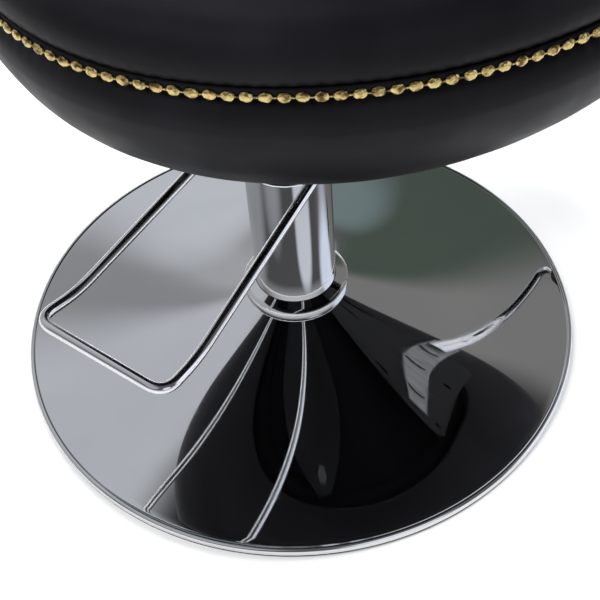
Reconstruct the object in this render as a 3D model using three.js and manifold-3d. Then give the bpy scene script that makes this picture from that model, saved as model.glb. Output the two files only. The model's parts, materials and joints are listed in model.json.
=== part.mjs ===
// Salon styling chair on a round chrome base, in millimetres.
// +Z is up, the chair faces -Y, and the origin is the middle of the base's underside, on the floor.
// Three groups follow the chair's bodies: the base, the ram that lifts, and the seat that swivels on it.
import * as THREE from 'three';
import { mergeVertices } from 'three/addons/utils/BufferGeometryUtils.js';
import Module from 'manifold-3d';

const wasm = await Module();
wasm.setup();

// ---------------------------------------------------------------- driving dimensions
const GAP = 0.3; // clearance between touching pieces
const BASE_RADIUS = 310;
const COLUMN_RADIUS = 44.5;
const SHROUD_TOP = 250;
const PLATE_THICKNESS = 6;
const FLANGE_TOP = 16;
const CYLINDER_TOP = 222;
const RAM_RADIUS = 15;
const RAM_BOTTOM = 138;
const RAM_TOP = 346.6;
const HUB_FLOOR_TOP = 358;
const SEAT_PLATE_BOTTOM = 382;
const SEAT_PLATE_TOP = 387.7;
const FRAME_TOP = 406;
const SEAT_BOTTOM = 378;
const NAIL_LINE = 520;
const RAIL_TOP = 575;

// plan outline of the seat at its widest height: a half ellipse in front, a squarer half behind
const HALF_WIDTH = 336;
const MIDDLE_Y = 110;
const FRONT_DEPTH = 361;
const BACK_DEPTH = 296;
const FRONT_POWER = 1.9;
const BACK_POWER = 4;
const OUTLINE_STEPS = 40;

// lever pivot, on the back of the swivel hub
const PIVOT_Y = 48;
const PIVOT_Z = 363;
const PIN_RADIUS = 5;
const PIN_HEAD_RADIUS = 9;

// footrest rod
const ROD_RADIUS = 5.4;
const BAR_Y = -285;
const BAR_Z = 226;
const BAR_HALF = 77;

// ---------------------------------------------------------------- materials
const finish = (color, roughness, metalness) => ({ color, roughness, metalness });
const CHROME = finish(0xd8dadc, 0.06, 1);
const STEEL = finish(0x9a9c9e, 0.35, 1);
const IRON = finish(0x3a3b3d, 0.6, 0.8);
const BLACK_STEEL = finish(0x17181a, 0.4, 0.3);
const BRASS = finish(0xb08d3c, 0.3, 1);
const LEATHER = finish(0x232226, 0.42, 0);
const RUBBER = finish(0x111111, 0.8, 0);
const PLYWOOD = finish(0xb98f5c, 0.7, 0);
const FOAM = finish(0xd8cfa6, 0.95, 0);

// ---------------------------------------------------------------- geometry helpers
function signedVolume(geometry) {
  const position = geometry.getAttribute('position');
  const index = geometry.index.array;
  const [a, b, c] = [new THREE.Vector3(), new THREE.Vector3(), new THREE.Vector3()];
  let volume = 0;
  for (let i = 0; i < index.length; i += 3) {
    a.fromBufferAttribute(position, index[i]);
    b.fromBufferAttribute(position, index[i + 1]);
    c.fromBufferAttribute(position, index[i + 2]);
    volume += a.dot(b.cross(c)) / 6;
  }
  return volume;
}

// merges shared vertices, drops collapsed triangles and turns the faces outwards
function closed(geometry) {
  const bare = geometry.clone();
  bare.deleteAttribute('normal');
  bare.deleteAttribute('uv');
  const merged = mergeVertices(bare, 1e-3);
  const kept = [];
  const index = merged.index.array;
  for (let i = 0; i < index.length; i += 3) {
    const [a, b, c] = [index[i], index[i + 1], index[i + 2]];
    if (a !== b && b !== c && c !== a) kept.push(a, b, c);
  }
  merged.setIndex(kept);
  if (signedVolume(merged) < 0) {
    for (let i = 0; i < kept.length; i += 3) [kept[i], kept[i + 1]] = [kept[i + 1], kept[i]];
    merged.setIndex(kept);
  }
  return merged;
}

function toManifold(geometry) {
  const clean = closed(geometry);
  const vertProperties = new Float32Array(clean.getAttribute('position').array);
  const triVerts = new Uint32Array(clean.index.array);
  return new wasm.Manifold(new wasm.Mesh({ numProp: 3, vertProperties, triVerts }));
}

function fromManifold(manifold) {
  const { vertProperties, triVerts } = manifold.getMesh();
  const geometry = new THREE.BufferGeometry();
  geometry.setAttribute('position', new THREE.BufferAttribute(new Float32Array(vertProperties), 3));
  geometry.setIndex(Array.from(triVerts));
  return geometry;
}

function cut(body, ...tools) {
  const start = toManifold(body);
  return fromManifold(tools.reduce((solid, tool) => solid.subtract(toManifold(tool)), start));
}

function fuse(body, ...others) {
  const start = toManifold(body);
  return fromManifold(others.reduce((solid, other) => solid.add(toManifold(other)), start));
}

// a profile of [radius, height] points turned about the Z axis
function turned(profile, segments = 24) {
  const points = profile.map(([radius, height]) => new THREE.Vector2(radius, height));
  return new THREE.LatheGeometry(points, segments).rotateX(Math.PI / 2);
}

function tube(inner, outer, bottom, top, segments = 24) {
  return turned([[inner, bottom], [outer, bottom], [outer, top], [inner, top], [inner, bottom]], segments);
}

function disc(radius, bottom, top, segments = 20) {
  return turned([[0, bottom], [radius, bottom], [radius, top], [0, top]], segments);
}

function box(x0, x1, y0, y1, z0, z1) {
  const geometry = new THREE.BoxGeometry(x1 - x0, y1 - y0, z1 - z0);
  return geometry.translate((x0 + x1) / 2, (y0 + y1) / 2, (z0 + z1) / 2);
}

// a cylinder along X
function crossPin(radius, x0, x1, y, z, segments = 16) {
  const geometry = new THREE.CylinderGeometry(radius, radius, x1 - x0, segments).rotateZ(Math.PI / 2);
  return geometry.translate((x0 + x1) / 2, y, z);
}

// a flat plate: outline points in plan, between two heights
function plate(points, bottom, top) {
  const shape = new THREE.Shape(points.map(([x, y]) => new THREE.Vector2(x, y)));
  const geometry = new THREE.ExtrudeGeometry(shape, { depth: top - bottom, bevelEnabled: false });
  return geometry.translate(0, 0, bottom);
}

// a round bar along a curve, with twice `halfSides` sides
function bar(curve, radius, steps, halfSides = 4) {
  const section = new THREE.Shape();
  section.absarc(0, 0, radius, 0, 2 * Math.PI);
  const options = { steps, extrudePath: curve, curveSegments: halfSides, bevelEnabled: false };
  return new THREE.ExtrudeGeometry(section, options);
}

// straight legs joined by quadratic corners that start `reach` before each point
function roundedPath(points, reaches) {
  const path = new THREE.CurvePath();
  const vectors = points.map((point) => new THREE.Vector3(...point));
  let from = vectors[0];
  for (let i = 1; i < vectors.length - 1; i += 1) {
    const before = vectors[i].clone().add(vectors[i - 1].clone().sub(vectors[i]).setLength(reaches[i - 1]));
    const after = vectors[i].clone().add(vectors[i + 1].clone().sub(vectors[i]).setLength(reaches[i - 1]));
    path.add(new THREE.LineCurve3(from, before));
    path.add(new THREE.QuadraticBezierCurve3(before, vectors[i], after));
    from = after;
  }
  path.add(new THREE.LineCurve3(from, vectors[vectors.length - 1]));
  return path;
}

// a hexagon bolt whose head is underneath: shank up from z = 0, head below it
function bolt(shankRadius, shankLength, headRadius, headHeight) {
  const head = disc(headRadius, -headHeight, 0.01, 6);
  return fuse(head, disc(shankRadius, -0.5, shankLength, 8));
}

// the seat outline at angle t, drawn in by `inset`
function outlinePoint(t, inset) {
  const [c, s] = [Math.cos(t), Math.sin(t)];
  const [depth, power] = s < 0 ? [FRONT_DEPTH, FRONT_POWER] : [BACK_DEPTH, BACK_POWER];
  const x = (HALF_WIDTH - inset) * Math.sign(c) * Math.abs(c) ** (2 / power);
  const y = MIDDLE_Y + (depth - inset) * Math.sign(s) * Math.abs(s) ** (2 / power);
  return [x, y];
}

function indexed(positions, triangles) {
  const geometry = new THREE.BufferGeometry();
  geometry.setAttribute('position', new THREE.Float32BufferAttribute(positions, 3));
  geometry.setIndex(triangles);
  return geometry;
}

// a ring that follows the whole outline: section is a closed list of [inset, height]
function outlineRing(section) {
  const positions = [];
  const triangles = [];
  const count = section.length;
  for (let i = 0; i < OUTLINE_STEPS; i += 1) {
    const t = (2 * Math.PI * i) / OUTLINE_STEPS;
    for (const [inset, height] of section) positions.push(...outlinePoint(t, inset), height);
    const next = (i + 1) % OUTLINE_STEPS;
    for (let j = 0; j < count; j += 1) {
      const k = (j + 1) % count;
      const [a, b, c, d] = [i * count + j, next * count + j, next * count + k, i * count + k];
      triangles.push(a, b, c, a, c, d);
    }
  }
  return closed(indexed(positions, triangles));
}

// a full solid inside the outline: levels of [inset, height] from the bottom up, closed by fans
function outlineSolid(levels) {
  const positions = [];
  const triangles = [];
  for (const [inset, height] of levels) {
    for (let i = 0; i < OUTLINE_STEPS; i += 1) {
      positions.push(...outlinePoint((2 * Math.PI * i) / OUTLINE_STEPS, inset), height);
    }
  }
  const last = (levels.length - 1) * OUTLINE_STEPS;
  const bottomCentre = levels.length * OUTLINE_STEPS;
  positions.push(0, MIDDLE_Y, levels[0][1], 0, MIDDLE_Y, levels[levels.length - 1][1]);
  for (let i = 0; i < OUTLINE_STEPS; i += 1) {
    const next = (i + 1) % OUTLINE_STEPS;
    for (let level = 0; level < last; level += OUTLINE_STEPS) {
      const [a, b] = [level + i, level + next];
      triangles.push(a, b, b + OUTLINE_STEPS, a, b + OUTLINE_STEPS, a + OUTLINE_STEPS);
    }
    triangles.push(bottomCentre, next, i, bottomCentre + 1, last + i, last + next);
  }
  return closed(indexed(positions, triangles));
}

// a wall that follows part of the outline, from angle t0 to t1; sectionAt(t) is a convex loop
function outlineWall(sectionAt, t0, t1, steps) {
  const positions = [];
  const triangles = [];
  const count = sectionAt(t0).length;
  for (let i = 0; i <= steps; i += 1) {
    const t = t0 + ((t1 - t0) * i) / steps;
    for (const [inset, height] of sectionAt(t)) positions.push(...outlinePoint(t, inset), height);
    if (i === steps) break;
    for (let j = 0; j < count; j += 1) {
      const k = (j + 1) % count;
      const [a, b, c, d] = [i * count + j, (i + 1) * count + j, (i + 1) * count + k, i * count + k];
      triangles.push(a, b, c, a, c, d);
    }
  }
  const end = steps * count;
  for (let j = 1; j < count - 1; j += 1) {
    triangles.push(0, j, j + 1);
    triangles.push(end, end + j + 1, end + j);
  }
  return closed(indexed(positions, triangles));
}

// ---------------------------------------------------------------- scene building
function place(parent, name, geometry, look, position = [0, 0, 0]) {
  const mesh = new THREE.Mesh(closed(geometry), new THREE.MeshStandardMaterial(look));
  mesh.name = name;
  mesh.position.set(...position);
  parent.add(mesh);
}

// height of the dish at a radius: steep beside the column, almost flat near the rim
function dishHeight(radius) {
  const run = (BASE_RADIUS - radius) / (BASE_RADIUS - 57);
  return 9.6 + 27 * run + 26 * run ** 3;
}

function dishProfile(fromRadius, toRadius, steps, drop) {
  const points = [];
  for (let i = 0; i <= steps; i += 1) {
    const radius = fromRadius + ((toRadius - fromRadius) * i) / steps;
    points.push([radius, dishHeight(radius) - drop]);
  }
  return points;
}

// ---------------------------------------------------------------- base
function addBase(base) {
  const boltCircle = 58;
  const boltPlaces = [45, 135, 225, 315].map((degrees) => (degrees * Math.PI) / 180);
  const boltAt = (angle) => [boltCircle * Math.cos(angle), boltCircle * Math.sin(angle)];
  const holeTool = (angle) => disc(4.4, 2, FLANGE_TOP + 4, 8).translate(...boltAt(angle), 0);
  const flangeHoles = boltPlaces.map(holeTool);

  const plateProfile = [[0, 0], [297, 0], [298, 1], [298, 5], [296, PLATE_THICKNESS], [0, PLATE_THICKNESS]];
  place(base, 'base_plate', cut(turned(plateProfile, 40), ...flangeHoles), IRON);

  const edging = [[298.4, 0], [308, 0], [309.5, 1.2], [309.5, 3.2], [305, 3.2], [298.4, 5], [298.4, 0]];
  place(base, 'edge_ring', turned(edging, 40), RUBBER);

  const thickness = 1.8;
  const outer = dishProfile(49, 302, 6, 0);
  const rim = [[303.5, 10.1], [305, 11], [308.5, 10.4], [BASE_RADIUS, 8], [BASE_RADIUS, 3.6]];
  const inner = dishProfile(49, 302, 6, thickness).reverse();
  const cover = [...outer, ...rim, [308, 3.6], [307.5, 7.5], ...inner, outer[0]];
  place(base, 'base_cover', turned(cover, 40), CHROME);

  const [collarRadius, collarEdge, collarTop] = [58, 74, 80.5];
  const collar = [
    [COLUMN_RADIUS + GAP, 70], [50, 70], [54, dishHeight(54) + 2],
    [collarRadius, dishHeight(collarRadius) + 2], [collarRadius, collarEdge],
    [collarRadius - 1, collarEdge + 1], [COLUMN_RADIUS + GAP, collarTop], [COLUMN_RADIUS + GAP, 70],
  ];
  place(base, 'collar_ring', turned(collar, 40), CHROME);

  const shroudInner = COLUMN_RADIUS - 1.5;
  place(base, 'column_shroud', tube(shroudInner, COLUMN_RADIUS, FLANGE_TOP + GAP, SHROUD_TOP, 40), CHROME);
  const cap = [
    [RAM_RADIUS + 1, SHROUD_TOP - 4], [shroudInner - GAP, SHROUD_TOP - 4],
    [shroudInner - GAP, SHROUD_TOP + GAP], [COLUMN_RADIUS, SHROUD_TOP + GAP],
    [COLUMN_RADIUS - 1.5, SHROUD_TOP + 4], [RAM_RADIUS + 1, SHROUD_TOP + 4],
    [RAM_RADIUS + 1, SHROUD_TOP - 4],
  ];
  place(base, 'shroud_cap', turned(cap), BLACK_STEEL);

  const flangeBottom = PLATE_THICKNESS + GAP;
  const flange = [[0, flangeBottom], [75, flangeBottom], [75, 13], [70, FLANGE_TOP], [0, FLANGE_TOP]];
  const socket = tube(34.3, 39, FLANGE_TOP - 1, 44);
  place(base, 'pump_flange', cut(fuse(turned(flange), socket), ...flangeHoles), IRON);
  boltPlaces.forEach((angle, i) => {
    const flangeBolt = bolt(4, 12, 7, 5).rotateX(Math.PI);
    place(base, `flange_bolt_${i + 1}`, flangeBolt, STEEL, [...boltAt(angle), FLANGE_TOP + GAP]);
  });

  const cylinderBottom = FLANGE_TOP + GAP;
  const reservoir = [
    [0, cylinderBottom], [34, cylinderBottom], [34, CYLINDER_TOP], [31, CYLINDER_TOP], [31, 21], [0, 21],
  ];
  place(base, 'pump_cylinder', turned(reservoir), STEEL);
  place(base, 'pressure_tube', tube(19.6, 22, 21 + GAP, CYLINDER_TOP), STEEL);
  const gland = [
    [RAM_RADIUS + 0.1, CYLINDER_TOP + GAP], [34, CYLINDER_TOP + GAP], [34, 236], [30, 240],
    [RAM_RADIUS + 0.1, 240], [RAM_RADIUS + 0.1, CYLINDER_TOP + GAP],
  ];
  place(base, 'gland_nut', turned(gland), STEEL);
  place(base, 'wiper_seal', tube(RAM_RADIUS + 0.1, 21, 240 + GAP, 245, 32), RUBBER);
}

// ---------------------------------------------------------------- ram
function addRam(lift) {
  place(lift, 'pump_ram', tube(5, RAM_RADIUS, RAM_BOTTOM, RAM_TOP), CHROME);
  const pistonTop = RAM_BOTTOM - GAP;
  const piston = [[0, 116], [17, 116], [19.3, 119], [19.3, 133], [17, pistonTop], [0, pistonTop]];
  place(lift, 'ram_piston', turned(piston, 32), STEEL);
  const head = [[RAM_RADIUS + GAP, 325], [22, 325], [29, 334], [29, RAM_TOP], [RAM_RADIUS + GAP, RAM_TOP]];
  place(lift, 'ram_head', turned([...head, head[0]]), STEEL);
  place(lift, 'thrust_ring', tube(12, 28, RAM_TOP + GAP, 350.7), BRASS);
}

// ---------------------------------------------------------------- swivel hub and seat plate
function addHub(seat) {
  const wallTop = SEAT_PLATE_BOTTOM - GAP;
  const hub = [
    [6, 351], [31, 351], [31, 333], [38, 333], [38, wallTop], [32, wallTop], [32, HUB_FLOOR_TOP],
    [6, HUB_FLOOR_TOP], [6, 351],
  ];
  const window = box(-16, 16, 20, 42, HUB_FLOOR_TOP, wallTop + 1);
  const ears = [box(-21, -15, 31.5, 60, 351, 376), box(15, 21, 31.5, 60, 351, 376)];
  const pinHole = crossPin(PIN_RADIUS + GAP, -30, 30, PIVOT_Y, PIVOT_Z);
  place(seat, 'swivel_hub', cut(fuse(cut(turned(hub), window), ...ears), pinHole), IRON);
  const [pinLeft, pinRight] = [-45, 28];
  const leftHead = crossPin(PIN_HEAD_RADIUS, pinLeft, pinLeft + 3.5, 0, 0);
  const rightHead = crossPin(PIN_HEAD_RADIUS, pinRight - 3.5, pinRight, 0, 0);
  const pin = fuse(crossPin(PIN_RADIUS, pinLeft + 3, pinRight - 3, 0, 0), leftHead, rightHead);
  place(seat, 'lever_pin', pin, STEEL, [0, PIVOT_Y, PIVOT_Z]);

  const [plateX, plateFront, plateBack] = [105, -95, 112];
  const corner = 14;
  const steel = plate([
    [-plateX + corner, plateFront], [plateX - corner, plateFront], [plateX, plateFront + corner],
    [plateX, plateBack - corner], [plateX - corner, plateBack], [-plateX + corner, plateBack],
    [-plateX, plateBack - corner], [-plateX, plateFront + corner],
  ], SEAT_PLATE_BOTTOM, SEAT_PLATE_TOP);
  const boltPlaces = [[-88, -78], [88, -78], [-88, 95], [88, 95]];
  const holes = boltPlaces.map(([x, y]) => disc(4.4, 370, 400, 8).translate(x, y, 0));
  place(seat, 'seat_plate', cut(steel, ...holes), BLACK_STEEL);
  boltPlaces.forEach(([x, y], i) => {
    place(seat, `plate_bolt_${i + 1}`, bolt(4, 5.4, 7, 5), STEEL, [x, y, SEAT_PLATE_BOTTOM - GAP]);
  });
}

// ---------------------------------------------------------------- pump lever
function addLever(seat) {
  const [armBottom, armTop] = [360, 366];
  const arm = plate([
    [-9, -12], [9, -12], [9, 62], [140, 108], [204, 108], [210, 116], [200, 268], [192, 276], [150, 276],
    [142, 220], [-12, 84], [-12, 62], [-9, 60],
  ], armBottom, armTop);
  const boss = crossPin(9, -14, 14, PIVOT_Y, PIVOT_Z);
  const fork = box(-4.6, 4.6, -13, 5.5, armBottom - 1, armTop + 1);
  const pinHole = crossPin(PIN_RADIUS + GAP, -16, 16, PIVOT_Y, PIVOT_Z);
  const strapBolts = [[180, 146], [173, 204], [170, 261]];
  const padBolts = [[160, 122], [202, 122], [150, 205], [195, 205]];
  const holeTool = ([x, y]) => disc(3.4, armBottom - 9, armTop + 9, 8).translate(x, y, 0);
  const holes = [...strapBolts, ...padBolts].map(holeTool);
  place(seat, 'lever_arm', cut(fuse(arm, boss), fork, pinHole, ...holes), BLACK_STEEL);

  const strapTop = armBottom - GAP;
  const strapBottom = strapTop - 4;
  const strapOutline = [[176, 118], [191, 120], [182, 200], [176, 310], [161, 308], [166, 200]];
  const tubeRadius = 6;
  const tubeZ = strapBottom - GAP - tubeRadius;
  const path = roundedPath([
    [168.5, 276, tubeZ], [168, 350, tubeZ], [161, 398, 300], [160, 402, 166], [252, 402, 160],
  ], [34, 34, 24]);
  place(seat, 'lever_strap', cut(plate(strapOutline, strapBottom, strapTop), ...holes), STEEL);
  place(seat, 'lever_tube', bar(path, tubeRadius, 24), CHROME);
  strapBolts.forEach(([x, y], i) => {
    place(seat, `strap_bolt_${i + 1}`, bolt(3, 9, 6.5, 4), STEEL, [x, y, strapBottom - GAP]);
  });

  const bore = tubeRadius + 1;
  const grip = [[bore, -34], [13, -34], [15, -31], [15, 31], [13, 34], [bore, 34], [bore, -34]];
  const gripSlope = 0.065;
  place(seat, 'pedal_grip', turned(grip, 16).rotateY(Math.PI / 2 + gripSlope), RUBBER, [214, 402, 162.5]);

  place(seat, 'plunger', fuse(disc(4, 200, 368, 20), disc(8, armTop + GAP, 370, 24)), STEEL);
}

// torsion spring round the lever pin, outside the left ear
function addReturnSpring(seat) {
  const [coilStart, coilLength, coilRadius, coilTurns] = [-23.5, 15.5, 7.2, 4];
  class Coil extends THREE.Curve {
    getPoint(t, target = new THREE.Vector3()) {
      const turn = 2 * Math.PI * coilTurns * t;
      const x = coilStart - coilLength * t;
      return target.set(x, PIVOT_Y + coilRadius * Math.sin(turn), PIVOT_Z - coilRadius * Math.cos(turn));
    }
  }
  place(seat, 'return_spring', bar(new Coil(), 1.1, 40, 2), STEEL);
}

// ---------------------------------------------------------------- footrest
function addFootrest(seat) {
  const armX = (y) => 73 - 0.082 * (237 + y);
  const armZ = (y) => 221 + 0.23 * (237 + y);
  const legX = 54;
  const side = (sign) => [
    [sign * legX, 14, 379], [sign * legX, 10, 286], [sign * armX(-30), -30, armZ(-30)],
    [sign * armX(-237), -237, armZ(-237)],
    [sign * BAR_HALF, BAR_Y, BAR_Z],
  ];
  const points = [...side(-1), ...side(1).reverse()];
  const path = roundedPath(points, [14, 16, 18, 20, 20, 18, 16, 14]);
  const rod = bar(path, ROD_RADIUS, 60);
  const tabTop = SEAT_PLATE_BOTTOM - GAP;
  const tabBottom = tabTop - 4.5;
  const tabs = [-1, 1].map((sign) => box(sign * legX - 11, sign * legX + 11, -38, 24, tabBottom, tabTop));
  const boltPlaces = [[-legX, -26], [-legX, -6], [legX, -26], [legX, -6]];
  const holes = boltPlaces.map(([x, y]) => disc(3.4, tabTop - 9, tabTop + 1, 8).translate(x, y, 0));
  place(seat, 'footrest', cut(fuse(rod, ...tabs), ...holes), CHROME);
  boltPlaces.forEach(([x, y], i) => {
    place(seat, `footrest_bolt_${i + 1}`, bolt(3, 4.2, 6, 4), STEEL, [x, y, tabBottom - GAP]);
  });
}

// ---------------------------------------------------------------- seat
function addSeat(seat) {
  const frameInset = 124;
  const frame = outlineSolid([[frameInset, SEAT_PLATE_TOP + GAP], [frameInset, FRAME_TOP]]);
  place(seat, 'seat_frame', frame, PLYWOOD);

  const hull = [
    [frameInset - 4, SEAT_BOTTOM], [98, 381], [75, 387], [57, 397], [41, 411], [16, 445], [6, 468], [0, 495],
    [2, 509], [8, NAIL_LINE], [frameInset - 4, NAIL_LINE],
  ];
  place(seat, 'seat_roll', outlineRing(hull), LEATHER);
  const foamInset = frameInset - 3;
  place(seat, 'seat_foam', outlineSolid([[foamInset, FRAME_TOP + GAP], [foamInset, NAIL_LINE]]), FOAM);

  const trim = [[3.5, NAIL_LINE + GAP], [12, NAIL_LINE + GAP], [12, NAIL_LINE + 9], [3.5, NAIL_LINE + 9]];
  place(seat, 'nail_trim', outlineRing(trim), BRASS);

  const railBottom = NAIL_LINE + 9 + GAP;
  const rail = [
    [70, railBottom], [70, RAIL_TOP], [30, RAIL_TOP], [15, 568], [5, 553], [3, 541], [6, railBottom],
  ];
  place(seat, 'seat_rail', outlineRing(rail), LEATHER);
  place(seat, 'seat_deck', outlineSolid([[71, railBottom], [71, 541]]), PLYWOOD);

  const cushion = [
    [80, 541 + GAP], [72, 560], [75, 586], [100, 600], [190, 608],
  ];
  place(seat, 'seat_cushion', outlineSolid(cushion), LEATHER);
}

// ---------------------------------------------------------------- wrap-round back and arms
function addBack(seat) {
  const wallBottom = RAIL_TOP + GAP;
  const armTop = 742;
  const backRise = 170;
  const armStart = (-27 * Math.PI) / 180;
  const armEnd = Math.PI - armStart;
  const steps = 30;
  const topAt = (t) => {
    const [, y] = outlinePoint(t, 40);
    const rise = THREE.MathUtils.smoothstep(y, 40, 330);
    return armTop + backRise * rise;
  };
  const slab = (outer, inner, bottom, drop) => (t) => [
    [outer, bottom], [inner, bottom], [inner, topAt(t) - drop], [outer, topAt(t) - drop],
  ];
  place(seat, 'tub_frame', outlineWall(slab(30, 42, wallBottom, 20), armStart, armEnd, steps), PLYWOOD);
  const skin = slab(20, 30 - GAP, wallBottom, 18);
  place(seat, 'outer_cover', outlineWall(skin, armStart, armEnd, steps), LEATHER);
  const innerPad = (t) => [
    [42 + GAP, wallBottom], [66, wallBottom], [70, wallBottom + 30], [70, topAt(t) - 50],
    [66, topAt(t) - 18], [42 + GAP, topAt(t) - 18],
  ];
  place(seat, 'inner_pad', outlineWall(innerPad, armStart, armEnd, steps), LEATHER);

  const rollSection = (t) => {
    const points = [];
    for (let i = 0; i < 8; i += 1) {
      const angle = (Math.PI * i) / 7;
      points.push([46 - 30 * Math.cos(angle), topAt(t) - 14 + 26 * Math.sin(angle)]);
    }
    return points;
  };
  place(seat, 'top_roll', outlineWall(rollSection, armStart, armEnd, steps), LEATHER);

  // the padded fronts of the arms; angles grow from the left arm, round the back, to the right arm
  const frontSection = () => [
    [20, wallBottom], [70, wallBottom], [70, armTop - 4], [46, armTop + 6], [20, armTop - 4],
  ];
  const [frontGap, frontLength] = [0.004, 0.09];
  const leftFront = outlineWall(frontSection, armStart - frontLength, armStart - frontGap, 3);
  const rightFront = outlineWall(frontSection, armEnd + frontGap, armEnd + frontLength, 3);
  place(seat, 'left_arm_front', leftFront, LEATHER);
  place(seat, 'right_arm_front', rightFront, LEATHER);
}

// ---------------------------------------------------------------- assembly
const chair = new THREE.Group();
const base = new THREE.Group();
const lift = new THREE.Group();
const seat = new THREE.Group();
chair.add(base);
chair.add(lift);
lift.add(seat);
addBase(base);
addRam(lift);
addHub(seat);
addLever(seat);
addReturnSpring(seat);
addFootrest(seat);
addSeat(seat);
addBack(seat);

export default chair;
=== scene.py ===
"""Looks of a salon styling chair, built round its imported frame.

Metres, +Z up, the chair faces -Y. Sizes come from the frame's own nodes wherever a node gives them.
"""

import json
import math

import bpy
import numpy as np
from mathutils import Matrix, Vector, noise
from mathutils.bvhtree import BVHTree


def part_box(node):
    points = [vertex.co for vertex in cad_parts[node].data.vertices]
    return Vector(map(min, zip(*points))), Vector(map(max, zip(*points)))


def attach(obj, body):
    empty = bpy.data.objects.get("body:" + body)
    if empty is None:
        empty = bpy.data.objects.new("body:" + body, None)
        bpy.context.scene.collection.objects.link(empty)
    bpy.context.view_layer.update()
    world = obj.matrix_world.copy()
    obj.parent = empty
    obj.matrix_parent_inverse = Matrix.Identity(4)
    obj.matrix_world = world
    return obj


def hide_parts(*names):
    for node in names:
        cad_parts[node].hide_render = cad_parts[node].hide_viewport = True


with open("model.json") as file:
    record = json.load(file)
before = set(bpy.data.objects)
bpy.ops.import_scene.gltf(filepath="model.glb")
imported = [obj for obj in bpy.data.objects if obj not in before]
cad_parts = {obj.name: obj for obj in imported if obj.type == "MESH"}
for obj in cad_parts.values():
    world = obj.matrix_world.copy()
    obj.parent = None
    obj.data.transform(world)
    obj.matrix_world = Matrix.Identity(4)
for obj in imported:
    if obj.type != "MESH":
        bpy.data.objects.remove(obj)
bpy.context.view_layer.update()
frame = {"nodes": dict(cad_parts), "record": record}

MM = 0.001
UP = Vector((0, 0, 1))

# ---------------------------------------------------------------- sizes taken from the frame
BASE_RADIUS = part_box("base_cover")[1].x
COLUMN_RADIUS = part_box("column_shroud")[1].x
COLUMN_BOTTOM, COLUMN_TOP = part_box("column_shroud")[0].z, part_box("column_shroud")[1].z
ROLL_LOW, ROLL_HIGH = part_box("seat_roll")
NAIL_LINE = ROLL_HIGH.z
BAND_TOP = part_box("nail_trim")[1].z
RAIL_BOTTOM, RAIL_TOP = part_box("seat_rail")[0].z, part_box("seat_rail")[1].z
CUSHION_LOW, CUSHION_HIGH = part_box("seat_cushion")
WALL_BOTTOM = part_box("inner_pad")[0].z

# plan outline of the seat, the same curve as the frame's: round in front, squarer behind
MIDDLE_Y = 110 * MM
HALF_WIDTH = ROLL_HIGH.x
FRONT_DEPTH = MIDDLE_Y - ROLL_LOW.y
BACK_DEPTH = ROLL_HIGH.y - MIDDLE_Y
FRONT_POWER, BACK_POWER = 1.9, 4.0

# the wrap-round back: angles on the outline, and the height of its top edge
ARM_START = math.radians(-27)
ARM_END = math.pi - ARM_START
ARM_TOP = 742 * MM
BACK_RISE = 170 * MM

NAIL_PITCH = 13 * MM
NAIL_RADIUS = 5.3 * MM
NAIL_INSET = 3 * MM
PIPING_RADIUS = 2.6 * MM
WELT_RADIUS = 2.4 * MM


# ---------------------------------------------------------------- mesh helpers
def make_mesh(name, points, faces, smooth=True):
    mesh = bpy.data.meshes.new(name)
    mesh.from_pydata([tuple(p) for p in points], [], faces)
    mesh.validate()
    mesh.update()
    piece = bpy.data.objects.new(name, mesh)
    bpy.context.scene.collection.objects.link(piece)
    if smooth:
        mesh.polygons.foreach_set("use_smooth", [True] * len(mesh.polygons))
    turn_outwards(mesh)
    return piece


def turn_outwards(mesh):
    """Turns every face to point out of a closed mesh."""
    volume = 0.0
    for face in mesh.polygons:
        corners = [mesh.vertices[i].co for i in face.vertices]
        for second, third in zip(corners[1:-1], corners[2:]):
            volume += corners[0].dot(second.cross(third))
    if volume < 0:
        mesh.flip_normals()


def sharpen(piece, degrees):
    piece.data.set_sharp_from_angle(angle=math.radians(degrees))


def through(points, per_span):
    """A smooth Catmull-Rom line through a few points."""
    knots = [np.array(p, float) for p in points]
    line = []
    for i in range(len(knots) - 1):
        a = knots[i - 1] if i > 0 else 2 * knots[0] - knots[1]
        b, c = knots[i], knots[i + 1]
        d = knots[i + 2] if i + 2 < len(knots) else 2 * knots[-1] - knots[-2]
        for step in range(per_span):
            s = step / per_span
            cubic = (-a + 3 * b - 3 * c + d) * s**3
            square = (2 * a - 5 * b + 4 * c - d) * s**2
            line.append((2 * b + (c - a) * s + square + cubic) / 2)
    line.append(knots[-1])
    return line


def scaled(points):
    """Pairs of millimetres as pairs of metres."""
    return [(a * MM, b * MM) for a, b in points]


def lathe(name, profile, segments=256):
    """A closed loop of (radius, height) turned about the Z axis."""
    count = len(profile)
    points = []
    faces = []
    for i in range(segments):
        angle = 2 * math.pi * i / segments
        points += [(r * math.cos(angle), r * math.sin(angle), z) for r, z in profile]
        after = (i + 1) % segments
        for j in range(count):
            k = (j + 1) % count
            faces.append((i * count + j, after * count + j, after * count + k, i * count + k))
    return make_mesh(name, points, faces)


def join_rings(faces, first, rings, sides):
    """Walls between rings of points that follow each other from index first, and a face at each end."""
    for level in range(rings - 1):
        low, high = first + level * sides, first + (level + 1) * sides
        for j in range(sides):
            k = (j + 1) % sides
            faces.append((low + j, low + k, high + k, high + j))
    last = first + (rings - 1) * sides
    faces.append(tuple(range(first, first + sides))[::-1])
    faces.append(tuple(range(last, last + sides)))


def outline(t, inset=0.0):
    """A point of the seat's plan outline at angle t, drawn in by inset."""
    c, s = math.cos(t), math.sin(t)
    depth, power = (FRONT_DEPTH, FRONT_POWER) if s < 0 else (BACK_DEPTH, BACK_POWER)
    x = (HALF_WIDTH - inset) * math.copysign(abs(c) ** (2 / power), c)
    y = MIDDLE_Y + (depth - inset) * math.copysign(abs(s) ** (2 / power), s)
    return x, y


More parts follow.
